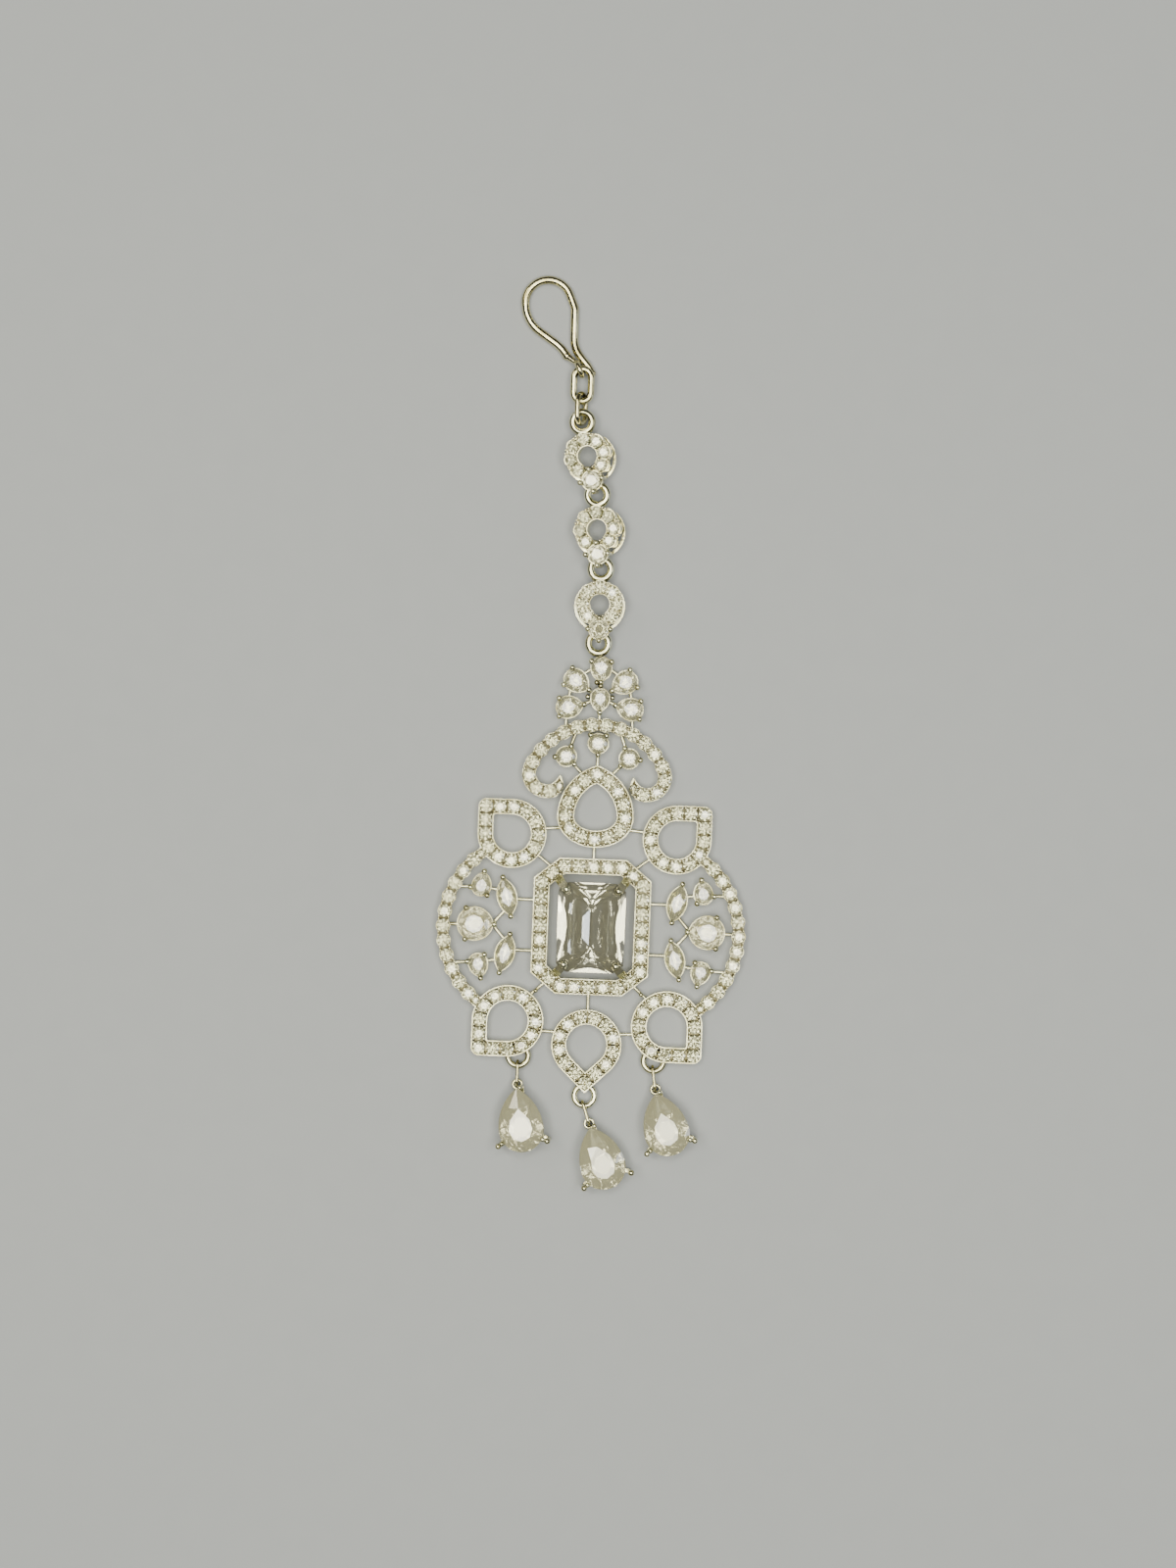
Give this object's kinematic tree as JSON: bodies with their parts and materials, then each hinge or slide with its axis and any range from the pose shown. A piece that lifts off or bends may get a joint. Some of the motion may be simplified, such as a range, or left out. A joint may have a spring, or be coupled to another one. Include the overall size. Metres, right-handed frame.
{
  "type": "maang tikka head jewel",
  "caption": "Forehead pendant of paved openwork with a cut-cornered centre stone, pear drops, a short stone-set chain and a wire hair hook, laid flat.",
  "frame": {"origin": "middle of the footprint on the table, under the jewel", "axes": "+Y from the drops towards the hair hook, +Z out of the jewel's face, +X to the wearer's left"},
  "size_m": [0.0364, 0.1072, 0.0048],
  "materials": {
    "plated_setting": "polished, cast and rhodium-plated brass",
    "plated_wire": "polished, drawn and rhodium-plated brass wire",
    "clear_stone": "polished, faceted cubic zirconia"
  },
  "bodies": {
    "root": {"pendant_frame": "plated_setting", "chain_link_1": "plated_setting", "chain_link_2": "plated_setting", "chain_link_3": "plated_setting", "drop_setting_left": "plated_setting", "drop_setting_middle": "plated_setting", "drop_setting_right": "plated_setting", "hair_hook": "plated_wire", "hook_ring": "plated_wire", "joiner_ring": "plated_wire", "drop_link_left": "plated_wire", "drop_link_middle": "plated_wire", "drop_link_right": "plated_wire", "centre_stone": "clear_stone", "crown_stone_top": "clear_stone", "crown_stone_centre": "clear_stone", "arch_stone_centre": "clear_stone", "crown_stone_upper_left": "clear_stone", "crown_stone_upper_right": "clear_stone", "crown_stone_lower_left": "clear_stone", "crown_stone_lower_right": "clear_stone", "arch_stone_left": "clear_stone", "arch_stone_right": "clear_stone", "side_pear_upper_left": "clear_stone", "side_pear_upper_right": "clear_stone", "side_pear_lower_left": "clear_stone", "side_pear_lower_right": "clear_stone", "side_large_pear_left": "clear_stone", "side_large_pear_right": "clear_stone", "side_marquise_upper_left": "clear_stone", "side_marquise_upper_right": "clear_stone", "side_marquise_lower_left": "clear_stone", "side_marquise_lower_right": "clear_stone", "chain_stone_1": "clear_stone", "chain_stone_2": "clear_stone", "chain_stone_3": "clear_stone", "drop_stone_left": "clear_stone", "drop_stone_middle": "clear_stone", "drop_stone_right": "clear_stone"}
  },
  "joints": []
}
